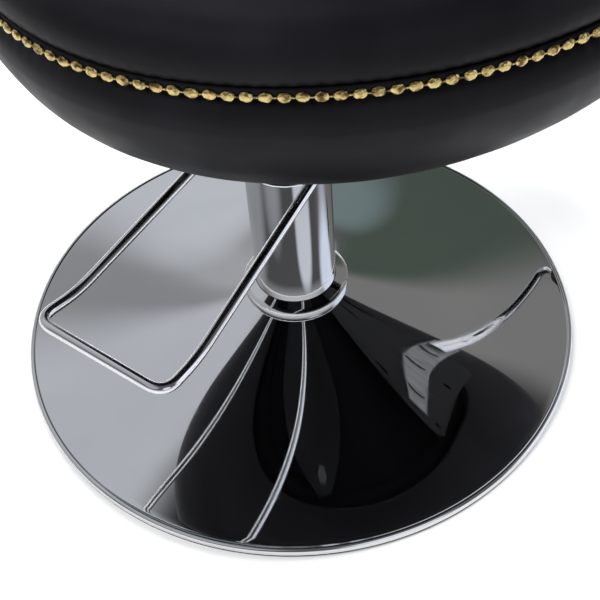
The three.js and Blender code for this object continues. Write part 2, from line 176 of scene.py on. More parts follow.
def spaced_angles(count, start=0.0, end=2 * math.pi, inset=0.0):
    """Angles that put count points at even distances along the outline, both ends included."""
    fine = np.linspace(start, end, 4001)
    places = np.array([outline(t, inset) for t in fine])
    lengths = np.concatenate([[0], np.cumsum(np.hypot(*np.diff(places, axis=0).T))])
    return list(np.interp(np.linspace(0, lengths[-1], count), lengths, fine))


def outline_length(start=0.0, end=2 * math.pi, inset=0.0):
    places = np.array([outline(t, inset) for t in np.linspace(start, end, 2001)])
    return float(np.hypot(*np.diff(places, axis=0).T).sum())


def ring(name, angles, section):
    """A closed band round the seat: section(i, t) is a closed loop of (inset, height)."""
    points = []
    faces = []
    total = len(angles)
    for i, t in enumerate(angles):
        loop = section(i, t)
        points += [(*outline(t, inset), z) for inset, z in loop]
        count = len(loop)
        after = (i + 1) % total
        for j in range(count):
            k = (j + 1) % count
            faces.append((i * count + j, after * count + j, after * count + k, i * count + k))
    return make_mesh(name, points, faces)


def wall(name, angles, section):
    """A band along part of the outline, closed at both ends by a fan about the loop's middle."""
    points = []
    faces = []
    total = len(angles)
    for i, t in enumerate(angles):
        loop = section(i, t)
        count = len(loop)
        points += [(*outline(t, inset), z) for inset, z in loop]
        if i == total - 1:
            break
        for j in range(count):
            k = (j + 1) % count
            faces.append((i * count + j, (i + 1) * count + j, (i + 1) * count + k, i * count + k))
    for first in (0, (total - 1) * count):
        middle = np.mean(points[first:first + count], axis=0)
        points.append(tuple(middle))
        for j in range(count):
            k = (j + 1) % count
            corner = (len(points) - 1, first + j, first + k)
            faces.append(corner if first == 0 else corner[::-1])
    return make_mesh(name, points, faces)


def sweep(name, path, radius, sides, closed=False):
    """A round rod along a line of points, with flat ends unless it is a closed loop."""
    line = [Vector(p) for p in path]
    total = len(line)
    tangents = []
    for i in range(total):
        ahead = line[(i + 1) % total] if closed or i < total - 1 else line[i]
        behind = line[i - 1] if closed or i > 0 else line[i]
        tangents.append((ahead - behind).normalized())
    side = tangents[0].orthogonal().normalized()
    points = []
    faces = []
    for i, (centre, tangent) in enumerate(zip(line, tangents)):
        side = (side - tangent * side.dot(tangent)).normalized()
        other = tangent.cross(side)
        for j in range(sides):
            angle = 2 * math.pi * j / sides
            points.append(centre + radius * (side * math.cos(angle) + other * math.sin(angle)))
        after = i + 1 if i < total - 1 else 0
        if i == total - 1 and not closed:
            break
        shift = closest_turn(points[:sides], line[0], tangents[0], side) if after == 0 else 0
        for j in range(sides):
            k = (j + 1) % sides
            a, b = after * sides + (j + shift) % sides, after * sides + (k + shift) % sides
            faces.append((i * sides + j, i * sides + k, b, a))
    if not closed:
        faces.append(tuple(range(sides))[::-1])
        faces.append(tuple(range((total - 1) * sides, total * sides)))
    piece = make_mesh(name, points, faces)
    sharpen(piece, 50)
    return piece


def closest_turn(first_ring, centre, tangent, side):
    """Which point of a closed rod's first ring lies in the direction of the last ring's first one."""
    level = (side - tangent * side.dot(tangent)).normalized()
    return max(range(len(first_ring)), key=lambda j: (first_ring[j] - centre).dot(level))


def rounded_path(points, reaches, steps):
    """Straight legs joined by quadratic corners that start at a given reach before each point.

    The points and reaches are in millimetres, and the line that comes back is in metres.
    """
    corners = [Vector(p) * MM for p in points]
    line = [corners[0]]
    for i in range(1, len(corners) - 1):
        reach = reaches[i - 1] * MM
        before = corners[i] + (corners[i - 1] - corners[i]).normalized() * reach
        after = corners[i] + (corners[i + 1] - corners[i]).normalized() * reach
        for step in range(steps + 1):
            s = step / steps
            line.append(before * (1 - s) ** 2 + corners[i] * 2 * s * (1 - s) + after * s**2)
    line.append(corners[-1])
    return evened(line, 8 * MM)


def evened(line, longest):
    """The same line with points added so that no stretch is longer than this."""
    finer = [line[0]]
    for first, second in zip(line, line[1:]):
        parts = max(1, math.ceil((second - first).length / longest))
        finer += [first.lerp(second, (k + 1) / parts) for k in range(parts)]
    return finer


def flat_bar(name, points, bottom, top, bevel):
    """A flat plate: its outline in plan, in millimetres, with rounded edges."""
    count = len(points)
    low = [(x * MM, y * MM, bottom) for x, y in points]
    high = [(x * MM, y * MM, top) for x, y in points]
    sides = [(i, (i + 1) % count, count + (i + 1) % count, count + i) for i in range(count)]
    faces = [tuple(range(count))[::-1], tuple(range(count, 2 * count)), *sides]
    piece = make_mesh(name, low + high, faces, smooth=False)
    edge = piece.modifiers.new("edge", "BEVEL")
    edge.width = bevel
    edge.segments = 3
    return piece


def smooth_step(value, low, high):
    s = min(1.0, max(0.0, (value - low) / (high - low)))
    return s * s * (3 - 2 * s)


def ripple(point, size, seed=0.0):
    """Soft noise from -1 to 1 whose bumps are about size across."""
    place = Vector(point) / size + Vector((seed, seed * 1.7, seed * 0.3))
    return noise.noise(place)


# ---------------------------------------------------------------- materials
def new_material(name):
    material = bpy.data.materials.new(name)
    material.use_nodes = True
    nodes, links = material.node_tree.nodes, material.node_tree.links
    shader = nodes["Principled BSDF"]
    place = nodes.new("ShaderNodeTexCoord")
    return material, nodes, links, shader, place.outputs["Object"]


def noise_node(nodes, links, place, scale, detail=3.0, stretch=None):
    texture = nodes.new("ShaderNodeTexNoise")
    texture.inputs["Scale"].default_value = scale
    texture.inputs["Detail"].default_value = detail
    if stretch:
        mapping = nodes.new("ShaderNodeMapping")
        mapping.inputs["Scale"].default_value = stretch
        links.new(place, mapping.inputs["Vector"])
        place = mapping.outputs["Vector"]
    links.new(place, texture.inputs["Vector"])
    return texture.outputs["Fac"]


def remap(nodes, links, value, low, high, start=0.3, end=0.7):
    node = nodes.new("ShaderNodeMapRange")
    node.inputs["From Min"].default_value = start
    node.inputs["From Max"].default_value = end
    node.inputs["To Min"].default_value = low
    node.inputs["To Max"].default_value = high
    links.new(value, node.inputs["Value"])
    return node.outputs["Result"]


def two_colours(nodes, links, value, first, second, start=0.35, end=0.65):
    ramp = nodes.new("ShaderNodeValToRGB")
    ramp.color_ramp.elements[0].position = start
    ramp.color_ramp.elements[1].position = end
    ramp.color_ramp.elements[0].color = (*first, 1)
    ramp.color_ramp.elements[1].color = (*second, 1)
    links.new(value, ramp.inputs["Fac"])
    return ramp.outputs["Color"]


def bump(nodes, links, height, strength, distance, under=None):
    node = nodes.new("ShaderNodeBump")
    node.inputs["Strength"].default_value = strength
    node.inputs["Distance"].default_value = distance
    links.new(height, node.inputs["Height"])
    if under:
        links.new(under, node.inputs["Normal"])
    return node.outputs["Normal"]


def leather_material():
    material, nodes, links, shader, place = new_material("black_leather")
    patches = noise_node(nodes, links, place, 9.0)
    colour = two_colours(nodes, links, patches, (0.0042, 0.004, 0.005), (0.0075, 0.0072, 0.009))
    links.new(colour, shader.inputs["Base Color"])
    dull = remap(nodes, links, noise_node(nodes, links, place, 24.0), 0.38, 0.48)
    links.new(dull, shader.inputs["Roughness"])
    pores = nodes.new("ShaderNodeTexVoronoi")
    pores.inputs["Scale"].default_value = 780.0
    links.new(place, pores.inputs["Vector"])
    creases = noise_node(nodes, links, place, 260.0, 4.0)
    soft = bump(nodes, links, noise_node(nodes, links, place, 38.0, 2.0), 0.25, 0.9 * MM)
    grain = bump(nodes, links, creases, 0.2, 0.12 * MM, soft)
    fine = bump(nodes, links, pores.outputs["Distance"], 0.2, 0.1 * MM, grain)
    links.new(fine, shader.inputs["Normal"])
    shader.inputs["Specular IOR Level"].default_value = 0.09
    return material


def chrome_material():
    material, nodes, links, shader, place = new_material("polished_chrome")
    shader.inputs["Metallic"].default_value = 1.0
    haze = noise_node(nodes, links, place, 7.0, 5.0)
    tint = two_colours(nodes, links, haze, (0.64, 0.65, 0.665), (0.71, 0.715, 0.725), 0.3, 0.7)
    links.new(tint, shader.inputs["Base Color"])
    wipe = noise_node(nodes, links, place, 30.0, 6.0, (1.0, 3.5, 1.0))
    links.new(remap(nodes, links, wipe, 0.012, 0.05, 0.35, 0.75), shader.inputs["Roughness"])
    waves = noise_node(nodes, links, place, 11.0, 1.0)
    links.new(bump(nodes, links, waves, 0.05, 2.0 * MM), shader.inputs["Normal"])
    return material


def brass_material():
    material, nodes, links, shader, place = new_material("antique_brass")
    shader.inputs["Metallic"].default_value = 1.0
    tarnish = noise_node(nodes, links, place, 160.0, 4.0)
    colour = two_colours(nodes, links, tarnish, (0.13, 0.08, 0.03), (0.62, 0.48, 0.2), 0.36, 0.52)
    links.new(colour, shader.inputs["Base Color"])
    links.new(remap(nodes, links, tarnish, 0.3, 0.12), shader.inputs["Roughness"])
    dents = nodes.new("ShaderNodeTexVoronoi")
    dents.inputs["Scale"].default_value = 330.0
    links.new(place, dents.inputs["Vector"])
    links.new(bump(nodes, links, dents.outputs["Distance"], 0.7, 0.7 * MM), shader.inputs["Normal"])
    return material


def plated_material():
    material, nodes, links, shader, place = new_material("zinc_plate")
    shader.inputs["Metallic"].default_value = 1.0
    marks = noise_node(nodes, links, place, 60.0, 5.0)
    colour = two_colours(nodes, links, marks, (0.17, 0.172, 0.175), (0.27, 0.272, 0.275))
    links.new(colour, shader.inputs["Base Color"])
    links.new(remap(nodes, links, marks, 0.26, 0.42), shader.inputs["Roughness"])
    grain = noise_node(nodes, links, place, 500.0)
    links.new(bump(nodes, links, grain, 0.1, 0.1 * MM), shader.inputs["Normal"])
    return material


def painted_material(name, first, second, dull, grain, depth, shine=0.4):
    """Paint, powder coat, rubber, cloth and foam: two close colours, uneven dullness and a fine grain."""
    material, nodes, links, shader, place = new_material(name)
    shader.inputs["Specular IOR Level"].default_value = shine
    patches = noise_node(nodes, links, place, 22.0, 5.0)
    links.new(two_colours(nodes, links, patches, first, second), shader.inputs["Base Color"])
    links.new(remap(nodes, links, patches, *dull), shader.inputs["Roughness"])
    pits = noise_node(nodes, links, place, grain, 3.0)
    links.new(bump(nodes, links, pits, 0.4, depth), shader.inputs["Normal"])
    return material


def plywood_material():
    material, nodes, links, shader, place = new_material("plywood")
    rings = nodes.new("ShaderNodeTexWave")
    rings.inputs["Scale"].default_value = 14.0
    rings.inputs["Distortion"].default_value = 7.0
    rings.inputs["Detail"].default_value = 3.0
    links.new(place, rings.inputs["Vector"])
    colour = two_colours(nodes, links, rings.outputs["Fac"], (0.42, 0.27, 0.13), (0.62, 0.45, 0.26))
    links.new(colour, shader.inputs["Base Color"])
    links.new(remap(nodes, links, rings.outputs["Fac"], 0.55, 0.75), shader.inputs["Roughness"])
    fibres = noise_node(nodes, links, place, 240.0, 3.0, (0.1, 1.0, 1.0))
    links.new(bump(nodes, links, fibres, 0.3, 0.3 * MM), shader.inputs["Normal"])
    return material


def floor_material():
    material, nodes, links, shader, place = new_material("pale_floor")
    cloud = noise_node(nodes, links, place, 1.5)
    pale = two_colours(nodes, links, cloud, (0.64, 0.64, 0.64), (0.67, 0.67, 0.67))
    links.new(pale, shader.inputs["Base Color"])
    shader.inputs["Roughness"].default_value = 0.9
    shader.inputs["Specular IOR Level"].default_value = 0.1
    return material


LEATHER = leather_material()
CHROME = chrome_material()
BRASS = brass_material()
MATERIALS = {
    "leather": LEATHER,
    "padded_leather": LEATHER,
    "chrome": CHROME,
    "brass": BRASS,
    "steel": plated_material(),
    "cast_iron": painted_material(
        "black_casting", (0.02, 0.02, 0.022), (0.034, 0.034, 0.036),
        dull=(0.42, 0.6), grain=180.0, depth=0.5 * MM),
    "black_steel": painted_material(
        "powder_coat", (0.005, 0.005, 0.006), (0.008, 0.008, 0.009),
        dull=(0.3, 0.42), grain=620.0, depth=0.12 * MM, shine=0.2),
    "rubber": painted_material(
        "black_rubber", (0.012, 0.012, 0.012), (0.022, 0.021, 0.02),
        dull=(0.62, 0.8), grain=420.0, depth=0.2 * MM),
    "plywood": plywood_material(),
    # the seat board and the black cloth under the seat: near black, darker than real cloth, as painted shade
    # under the seat
    "black_board": painted_material(
        "black_dust_cloth_and_painted_shade", (0.002, 0.002, 0.003), (0.004, 0.004, 0.005),
        dull=(0.8, 0.95), grain=900.0, depth=0.2 * MM, shine=0.03),
    "foam": painted_material(
        "seat_foam", (0.62, 0.56, 0.38), (0.74, 0.69, 0.5),
        dull=(0.85, 0.95), grain=500.0, depth=0.6 * MM),
}


def finish_piece(piece, slot, body, *replaced):
    """Gives a piece its material and its body, and hides the CAD nodes that it stands for."""
    piece.data.materials.clear()
    piece.data.materials.append(MATERIALS[slot])
    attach(piece, body)
    if replaced:
        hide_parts(*replaced)
    return piece


# ---------------------------------------------------------------- camera and studio
def make_camera():
    """Above the left front corner of the chair, looking steeply down and rolled a few degrees."""
    turn = math.radians(39.4)
    away = 0.887
    height = 1.026
    pitch, yaw, roll = 0.8419, 0.0028, -0.0764
    right = Vector((math.cos(turn), math.sin(turn), 0))
    ahead = Vector((-math.sin(turn), math.cos(turn), 0))
    level = right * math.sin(yaw) + ahead * math.cos(yaw)
    forward = level * math.cos(pitch) - UP * math.sin(pitch)
    across = right * math.cos(yaw) - ahead * math.sin(yaw)
    up = across.cross(forward)
    x_axis = across * math.cos(roll) + up * math.sin(roll)
    y_axis = up * math.cos(roll) - across * math.sin(roll)
    camera = bpy.data.objects.new("camera", bpy.data.cameras.new("camera"))
    bpy.context.scene.collection.objects.link(camera)
    place = Matrix((x_axis, y_axis, -forward)).transposed().to_4x4()
    place.translation = -ahead * away + UP * height
    camera.matrix_world = place
    camera.data.sensor_width = 36
    camera.data.lens = 70.1
    camera.data.clip_start = 0.05
    bpy.context.scene.camera = camera
    return right, ahead


def area_light(name, place, target, width, height, power, colour=(1, 1, 1)):
    light = bpy.data.lights.new(name, "AREA")
    light.shape = "RECTANGLE"
    light.size = width
    light.size_y = height
    light.energy = power
    light.color = colour
    lamp = bpy.data.objects.new(name, light)
    bpy.context.scene.collection.objects.link(lamp)
    lamp.location = place
    lamp.rotation_euler = (Vector(target) - Vector(place)).to_track_quat("-Z", "Y").to_euler()
    return lamp


def make_world(right, ahead):
    """A soft studio for the chrome to mirror: pale along the horizon, dim above, with soft patches."""
    world = bpy.data.worlds.new("studio")
    bpy.context.scene.world = world
    world.use_nodes = True
    nodes, links = world.node_tree.nodes, world.node_tree.links
    background = nodes["Background"]
    direction = nodes.new("ShaderNodeTexCoord").outputs["Generated"]
    # where each patch lies (to the right, ahead, up), how wide it is, and its light
    patches = [
        ((-0.6, 0.55, 0.58), 0.55, 0.85, (0.48, 0.49, 0.51)),
        ((-0.38, 0.66, 0.65), 0.965, 0.995, (0.33, 0.335, 0.35)),
        ((-0.15, 0.88, 0.45), 0.97, 0.998, (0.66, 0.68, 0.73)),
        ((-0.46, 0.44, 0.77), 0.95, 0.985, (0.60, 0.62, 0.66)),
        ((0.95, 0.3, 0.2), 0.7, 0.95, (0.30, 0.285, 0.28)),
        ((0.46, 0.6, 0.65), 0.92, 0.975, (0.245, 0.24, 0.235)),
        ((0.29, 0.85, 0.45), 0.95, 0.985, (0.08, 0.103, 0.084)),
        ((0.1, 0.92, 0.37), 0.984, 0.998, (0.2, 0.255, 0.26)),
        ((0.1, 0.31, 0.945), 0.925, 0.958, (0.004, 0.004, 0.004)),
        ((0.97, 0.05, 0.12), 0.88, 0.97, (1.2, 1.28, 1.5)),
        ((0.42, -0.78, 0.44), 0.93, 0.975, (1.0, 1.04, 1.12)),
        ((-0.5, -0.45, 0.7), 0.88, 0.97, (0.5, 0.5, 0.53)),
    ]
    # pale along the horizon, dim above it
    split = nodes.new("ShaderNodeSeparateXYZ")
    links.new(direction, split.inputs[0])
    total = two_colours(nodes, links, split.outputs["Z"], (0.9, 0.9, 0.9), (0.13, 0.13, 0.13), 0.04, 0.2)
    for place, start, end, light in patches:
        aim = (right * place[0] + ahead * place[1] + UP * place[2]).normalized()
        dot = nodes.new("ShaderNodeVectorMath")
        dot.operation = "DOT_PRODUCT"
        dot.inputs[1].default_value = aim
        links.new(direction, dot.inputs[0])
        edge = nodes.new("ShaderNodeMapRange")
        edge.interpolation_type = "SMOOTHSTEP"
        edge.inputs["From Min"].default_value = start
        edge.inputs["From Max"].default_value = end
        links.new(dot.outputs["Value"], edge.inputs["Value"])
        mix = nodes.new("ShaderNodeMix")
        mix.data_type = "RGBA"
        links.new(edge.outputs["Result"], mix.inputs[0])
        links.new(total, mix.inputs[6])
        mix.inputs[7].default_value = (*light, 1)
        total = mix.outputs[2]
    links.new(total, background.inputs["Color"])
    background.inputs["Strength"].default_value = 1.0


def make_floor():
    """A pale floor just under the chair, wide enough for every view."""
    floor = make_mesh("floor", [(-6, -6, 0), (6, -6, 0), (6, 6, 0), (-6, 6, 0)], [(0, 1, 2, 3)], False)
    floor.location.z = -0.3 * MM
    floor.data.materials.append(floor_material())


def make_lights(right, ahead):
    """Three large soft lamps, which the chrome doesn't mirror."""
    middle = Vector((0, 0, 0.4))
    lamps = [
        area_light("key", right * -1.1 - ahead * 0.9 + UP * 2.1, middle, 1.6, 1.2, 66),
        area_light("side", right * 1.6 + ahead * 0.5 + UP * 1.9, middle, 1.2, 1.2, 66, (0.97, 0.98, 1)),
        area_light("back", ahead * 1.8 - right * 0.6 + UP * 2.0, middle, 1.8, 1.0, 62),
    ]
    for lamp in lamps:
        lamp.visible_glossy = False


# ---------------------------------------------------------------- chrome base and column
# Profiles here are loops of (radius, height) in millimetres.
DISH_EDGE = 302
COLLAR_EDGE = 57


def dish_height(radius):
    """Height of the dish: steep beside the column, almost flat near the rim. In millimetres."""
    run = (BASE_RADIUS / MM - radius) / (BASE_RADIUS / MM - COLLAR_EDGE)
    lowest, even_rise, late_rise = 9.6, 27, 26
    return lowest + even_rise * run + late_rise * run**3


def make_dish():
    """The chromed dish: a thin shell with a rolled rim."""
    thickness = 1.8
    top = [(r, dish_height(r)) for r in np.linspace(49, DISH_EDGE, 48)]
    rim = through([(DISH_EDGE, dish_height(DISH_EDGE)), (303.8, 10.25), (305.6, 10.9), (307.6, 10.6),
                   (309.3, 9.2), (309.95, 7.2), (310, 3.7)], 4)
    under = [(308.2, 3.7), (307.6, 7.4), (DISH_EDGE, 8.2)]
    inside = [(r, z - thickness) for r, z in top[::-6]]
    dish = lathe("base_dish", scaled(top + [tuple(p) for p in rim[1:]] + under + inside), 384)
    sharpen(dish, 40)
    finish_piece(dish, "chrome", "base", "base_cover")


def make_edge_seal():
    """The rubber ring under the rim, on the floor."""
    profile = [(298.6, 0.1), (308, 0.1), (309.3, 0.8), (309.4, 2.6), (308.6, 3.2), (305, 3.2), (298.6, 4.8)]
    seal = lathe("edge_seal", scaled(profile), 256)
    sharpen(seal, 40)
    finish_piece(seal, "rubber", "base", "edge_ring")


def make_collar():
    """The ring round the foot of the column, which rises to it as a shallow cone."""
    profile = [(44.9, 72), (50, 70.2), (57.3, 64.9), (58, 65.3), (58.1, 66.5), (58.1, 73.6), (57.8, 74.5),
               (57.0, 75.2), (53, 76.9), (49, 78.6), (44.9, 80.4)]
    collar = lathe("column_collar", scaled(profile), 192)
    sharpen(collar, 30)
    finish_piece(collar, "chrome", "base", "collar_ring")


def make_column():
    """The chromed tube, with a rounded top edge."""
    outer, bottom, top = COLUMN_RADIUS / MM, COLUMN_BOTTOM / MM, COLUMN_TOP / MM
    edge = [(outer, top - 0.8), (outer - 0.25, top - 0.2), (outer - 0.75, top),
            (outer - 1.25, top - 0.2), (outer - 1.5, top - 0.8)]
    # extra loops keep the long wall's shading straight
    straight = [(outer, z) for z in (bottom, bottom + 2, bottom + 40, top - 40, top - 3, top - 1.6)]
    column = lathe("column_tube", scaled([(outer - 1.5, bottom), *straight, *edge]), 192)
    sharpen(column, 40)
    finish_piece(column, "chrome", "base", "column_shroud")


# ---------------------------------------------------------------- footrest and lever tube
ROD_SIDES = 36


def make_footrest():
    """A bent rod: two legs down from the seat plate, two sloping arms and a bar across the front."""
    leg_x = 54
    bar_x, bar_y, bar_z = 77, -285, 226
    arm_end = -237

    def arm_x(y):
        return 73 - 0.082 * (y - arm_end)

    def arm_z(y):
        return 221 + 0.23 * (y - arm_end)

    def side(sign):
        return [(sign * leg_x, 14, 379), (sign * leg_x, 10, 286), (sign * arm_x(-30), -30, arm_z(-30)),
                (sign * arm_x(arm_end), arm_end, arm_z(arm_end)), (sign * bar_x, bar_y, bar_z)]

    reaches = [14, 16, 18, 20]
    path = rounded_path(side(-1) + side(1)[::-1], reaches + reaches[::-1], 14)
    rod = sweep("footrest_rod", path, 5.4 * MM, ROD_SIDES)
    finish_piece(rod, "chrome", "seat", "footrest")
    low, high = 377.2 * MM, 381.7 * MM
    for name, x in (("footrest_tab_right", -leg_x), ("footrest_tab_left", leg_x)):
        corners = [(x - 11, -38), (x + 11, -38), (x + 11, 24), (x - 11, 24)]
        finish_piece(flat_bar(name, corners, low, high, 1.2 * MM), "chrome", "seat")


def make_lever():
    """The strap under the lever plate and the bent tube that ends in the foot pedal."""
    level = 349.4
    points = [(168.5, 276, level), (168, 350, level), (161, 398, 300), (160, 402, 166), (252, 402, 160)]
    rod = sweep("lever_rod", rounded_path(points, [34, 34, 24], 18), 6 * MM, ROD_SIDES)
    finish_piece(rod, "chrome", "lever", "lever_tube")
    corners = [(176, 118), (191, 120), (182, 200), (176, 310), (161, 308), (166, 200)]
    strap = flat_bar("lever_strap_plate", corners, 355.7 * MM, 359.7 * MM, 1.0 * MM)
    finish_piece(strap, "steel", "lever", "lever_strap")


def make_pedal():
    """The ribbed rubber sleeve for the foot, on the rod's level end."""
    centre = Vector((214, 402, 162.5)) * MM
    slope = 0.065
    half_long, radius, bore = 34, 15, 6.9
    groove_pitch, groove_depth = 6.8, 0.9
    profile = []
    for along in range(-half_long, half_long + 1):
        wave = 0.5 - 0.5 * math.cos(2 * math.pi * along / groove_pitch)
        groove = groove_depth * wave if abs(along) < 27 else 0
        edge = max(0.0, (abs(along) - 30) / 4)
        profile.append(((radius - groove - 2.2 * edge**2) * MM, along * MM))
    profile += scaled([(bore, half_long), (bore, -half_long)])
    grip = lathe("pedal_sleeve", profile, 64)
    turn = Matrix.Rotation(math.pi / 2 + slope, 4, "Y")
    grip.data.transform(Matrix.Translation(centre) @ turn)
    sharpen(grip, 50)
    finish_piece(grip, "rubber", "lever", "pedal_grip")


# ---------------------------------------------------------------- seat roll, nails and rail
NAIL_COUNT = int(round(outline_length(inset=NAIL_INSET) / NAIL_PITCH))
STEPS_PER_NAIL = 6
RING_ANGLES = spaced_angles(NAIL_COUNT * STEPS_PER_NAIL + 1)[:-1]


def pinch(i, distance):
    """How far the leather is pulled in at a station, near the line of nails."""
    between = 0.5 - 0.5 * math.cos(2 * math.pi * i / STEPS_PER_NAIL)
    fade = math.exp(-(distance / (9 * MM)) ** 2)
    return (0.9 * MM + 1.1 * MM * (1 - between)) * fade


def make_seat_roll():
    """The big padded roll under the nails, pulled in a little at each nail."""
    # points of (inset, height), from the underside up to the nails
    skin = through([(118, 378.6), (98, 381), (75, 387), (57, 397), (41, 411), (27, 428), (16, 445), (6, 468),
                    (1.2, 487), (0.8, 496), (2.2, 504), (5.4, 511), (9.8, 516.5), (13, 520)], 5)
    skin = scaled(skin)
    back = [(118 * MM, NAIL_LINE - 0.2 * MM)]

    def section(i, t):
        loop = []
        for inset, z in skin:
            x, y = outline(t, inset)
            soft = 0.8 * MM * ripple((x, y, z), 75 * MM) + 0.35 * MM * ripple((x, y, z), 28 * MM, 4.0)
            if z < 395 * MM:
                soft *= 0.5
            loop.append((inset + pinch(i, NAIL_LINE - z) - soft, z))
        return loop + back

    roll = ring("roll_leather", RING_ANGLES, section)
    finish_piece(roll, "padded_leather", "seat", "seat_roll")


# each ring of a nail's dome: its share of the radius and its height in millimetres
DOME_LEVELS = [(1.0, 0.0), (1.0, 0.6), (0.94, 1.4), (0.8, 2.2), (0.58, 2.85), (0.3, 3.25)]
DOME_SIDES = 14
LINK_SIDES = 6


def add_dome(points, faces, n, centre, along, outward):
    """One nail head, a little uneven, as hammered heads are."""
    first = len(points)
    for share, rise in DOME_LEVELS:
        for j in range(DOME_SIDES):
            angle = 2 * math.pi * j / DOME_SIDES
            uneven = 1 + 0.06 * ripple((n, 2.5 * j / DOME_SIDES, share), 0.9)
            across = along * math.cos(angle) * 1.06 + UP * math.sin(angle) * 0.9
            points.append(centre + across * NAIL_RADIUS * share * uneven + outward * rise * MM)
    join_rings(faces, first, len(DOME_LEVELS), DOME_SIDES)


def add_link(points, faces, middle, along, outward):
    """The thin twisted bar between one nail head and the next."""
    first = len(points)
    for end in (-1, 0, 1):
        wide = 1.1 * MM if end == 0 else 0.8 * MM
        for j in range(LINK_SIDES):
            angle = 2 * math.pi * j / LINK_SIDES + 0.5 * end
            out = outward * (0.7 * MM + wide * math.cos(angle)) + UP * wide * math.sin(angle)
            points.append(middle + along * end * 2.2 * MM + out)
    join_rings(faces, first, 3, LINK_SIDES)


def make_nails():
    """A leather strip with a row of domed nail heads on it, each joined to the next by a small link."""
    strip_loop = [(12, 0.3), (7, 0.3), (5.4, 2), (5.0, 4.6), (5.2, 7.2), (6.4, 8.9), (12, 8.9)]
    strip_loop = [(inset * MM, NAIL_LINE + rise * MM) for inset, rise in strip_loop]
    strip = ring("nail_strip", RING_ANGLES[::2], lambda i, t: strip_loop)
    finish_piece(strip, "leather", "seat")

    points = []
    faces = []
    height = (NAIL_LINE + BAND_TOP) / 2 + 0.2 * MM
    for n, t in enumerate(spaced_angles(NAIL_COUNT + 1, inset=NAIL_INSET)[:-1]):
        a, b = outline(t - 0.002, NAIL_INSET), outline(t + 0.002, NAIL_INSET)
        along = Vector((b[0] - a[0], b[1] - a[1], 0)).normalized()
        outward = along.cross(UP)
        centre = Vector((*outline(t, 4.6 * MM), height + 0.25 * MM * ripple((n, 0, 0), 2.3)))
        add_dome(points, faces, n, centre, along, outward)
        add_link(points, faces, centre + along * NAIL_PITCH / 2, along, outward)
    nails = make_mesh("nail_heads", points, faces)
    sharpen(nails, 60)
    finish_piece(nails, "brass", "seat", "nail_trim")


def make_rail():
    """The upper band above the nails, rolled over at its top."""
    # points of (inset, height), from the nails up and over
    skin = scaled(through([(8.5, 529.5), (5.4, 532.5), (3.6, 538), (3.2, 545), (4.4, 553), (8, 561),
                           (14, 568), (22, 572.6), (31, 574.6), (44, 575)], 5))
    back = [(69.8 * MM, RAIL_TOP), (69.8 * MM, RAIL_BOTTOM)]

    def section(i, t):
        loop = []
        for inset, z in skin:
            x, y = outline(t, inset)
            soft = 0.6 * MM * ripple((x, y, z), 60 * MM, 9.0)
            level = z < RAIL_TOP - 1 * MM
            loop.append((inset + 0.6 * pinch(i, z - RAIL_BOTTOM) - (soft if level else 0), z))
        return loop + back

    rail = ring("rail_leather", RING_ANGLES, section)
    finish_piece(rail, "padded_leather", "seat", "seat_rail")


def piping(name, angles, place):
    """A leather-covered cord sewn along an edge; place(t) gives (inset, height)."""
    line = []
    for t in angles:
        inset, z = place(t)
        line.append((*outline(t, inset), z))
    finish_piece(sweep(name, line, PIPING_RADIUS, 10), "leather", "seat")


def make_dust_cloth_and_painted_shade():
    """The black cloth that closes the gap between the seat board and the roll, seen from below; its
    near-black colour is partly painted shade under the seat.
    """
    low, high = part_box("seat_plate")[1].z - 0.7 * MM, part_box("seat_frame")[0].z - 0.2 * MM
    loop = [(140 * MM, low), (118.4 * MM, low), (118.4 * MM, high), (140 * MM, high)]
    cloth = ring("dust_cloth_edge_and_painted_shade", RING_ANGLES[::4], lambda i, t: loop)
    finish_piece(cloth, "black_board", "seat")


# ---------------------------------------------------------------- seat cushion
def inside_outline(points, inset):
    """Moves points that lie outside the outline at this inset back onto it."""
    for p in points:
        y = p[1] - MIDDLE_Y
        depth, power = (FRONT_DEPTH, FRONT_POWER) if y < 0 else (BACK_DEPTH, BACK_POWER)
        reach = abs(p[0] / (HALF_WIDTH - inset)) ** power + abs(y / (depth - inset)) ** power
        if reach > 1:
            share = reach ** (-1 / power)
            p[0] *= share
            p[1] = MIDDLE_Y + y * share
    return points


def remesh(piece, voxel):
    step = piece.modifiers.new("remesh", "REMESH")
    step.mode = "VOXEL"
    step.voxel_size = voxel
    keep_modifiers(piece)


def keep_modifiers(piece):
    graph = bpy.context.evaluated_depsgraph_get()
    mesh = bpy.data.meshes.new_from_object(piece.evaluated_get(graph), depsgraph=graph)
    piece.modifiers.clear()
    piece.data = mesh
    mesh.polygons.foreach_set("use_smooth", [True] * len(mesh.polygons))


def coordinates(mesh):
    values = np.zeros(len(mesh.vertices) * 3)
    mesh.vertices.foreach_get("co", values)
    return values.reshape(-1, 3)


def inflate(piece, held, cap, pressure=4.0, frames=20):
    """Blows the piece up as cloth while the held points stay, and limits how far a point moves."""
    start = coordinates(piece.data)
    pins = piece.vertex_groups.new(name="pins")
    pins.add([int(i) for i in np.nonzero(held(start))[0]], 1.0, "REPLACE")
    cloth = piece.modifiers.new("cloth", "CLOTH")
    cloth.settings.quality = 5
    cloth.settings.use_pressure = True
    cloth.settings.uniform_pressure_force = pressure
    cloth.settings.vertex_group_mass = "pins"
    cloth.settings.effector_weights.gravity = 0
    cloth.point_cache.frame_start = 1
    cloth.point_cache.frame_end = frames
    scene = bpy.context.scene
    for number in range(1, frames + 1):
        scene.frame_set(number)
    graph = bpy.context.evaluated_depsgraph_get()
    result = piece.evaluated_get(graph).to_mesh()
    moved = coordinates(result) - start
    piece.modifiers.remove(cloth)
    scene.frame_set(1)
    length = np.linalg.norm(moved, axis=1, keepdims=True)
    moved *= cap * np.tanh(length / cap) / np.maximum(length, 1e-9)
    piece.data.vertices.foreach_set("co", (start + moved).ravel())
    piece.vertex_groups.clear()
    piece.data.update()


